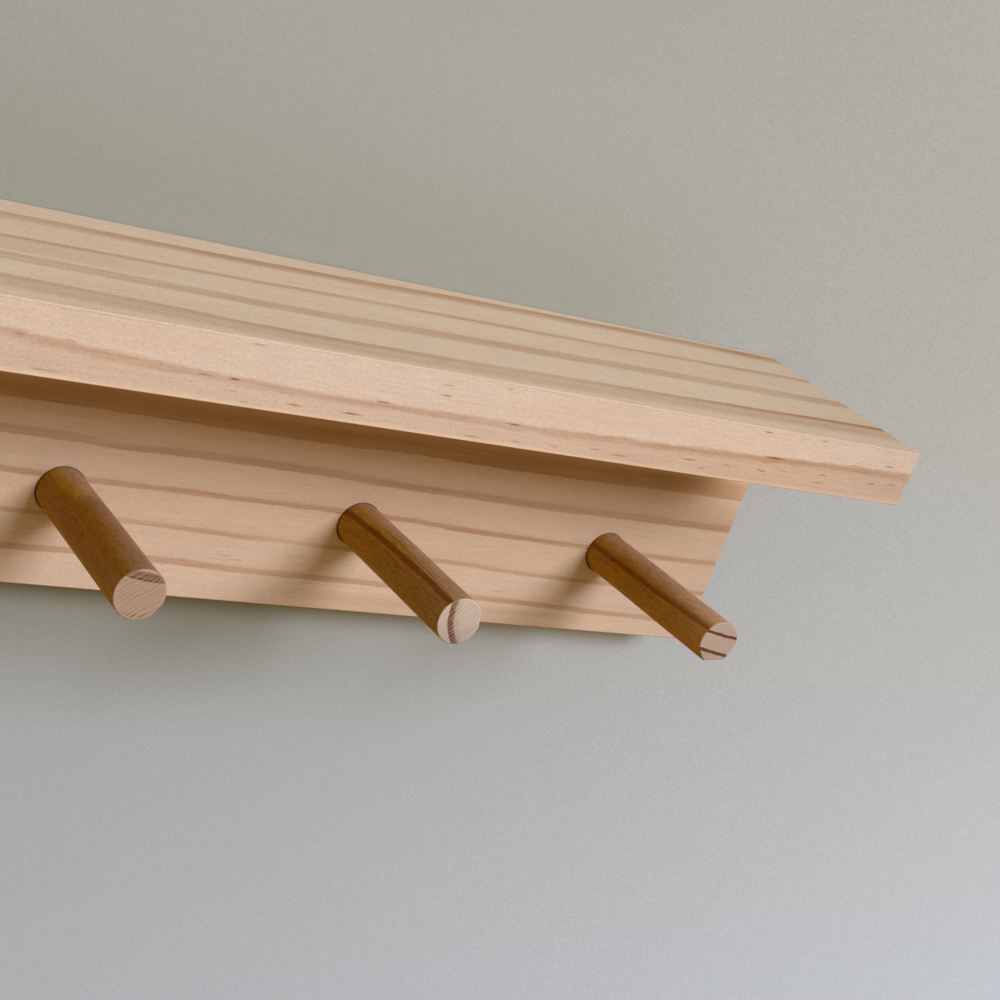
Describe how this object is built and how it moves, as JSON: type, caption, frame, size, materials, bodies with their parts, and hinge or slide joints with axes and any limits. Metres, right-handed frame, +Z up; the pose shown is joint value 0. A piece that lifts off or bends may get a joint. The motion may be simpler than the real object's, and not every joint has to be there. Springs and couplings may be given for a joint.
{
  "type": "shaker peg rail with shelf",
  "caption": "Wall-hung pine rail with a row of plain round pegs under a narrow flat shelf, for hanging coats and cups and for standing small things.",
  "frame": {"origin": "on the wall plane, half way along the rail, at the height where the wall screws carry the keyhole plates", "axes": "+X along the rail, +Y into the wall, +Z up"},
  "size_m": [0.55, 0.0958, 0.1165],
  "materials": {
    "shelf_pine": "planed and sanded, unfinished",
    "rail_pine": "planed and sanded, unfinished",
    "peg_wood": "sanded dowel, unfinished",
    "dowel_beech": "fluted, raw",
    "zinc_plate": "bright zinc",
    "zinc_screw": "bright zinc"
  },
  "bodies": {
    "root": {"shelf_board": "shelf_pine", "rail_board": "rail_pine", "peg_1": "peg_wood", "peg_2": "peg_wood", "peg_3": "peg_wood", "peg_4": "peg_wood", "peg_5": "peg_wood", "joint_dowel_1": "dowel_beech", "joint_dowel_2": "dowel_beech", "joint_dowel_3": "dowel_beech", "joint_dowel_4": "dowel_beech", "joint_dowel_5": "dowel_beech", "keyhole_plate_left": "zinc_plate", "plate_screw_left_upper": "zinc_screw", "plate_screw_left_lower": "zinc_screw", "keyhole_plate_right": "zinc_plate", "plate_screw_right_upper": "zinc_screw", "plate_screw_right_lower": "zinc_screw"}
  },
  "joints": []
}
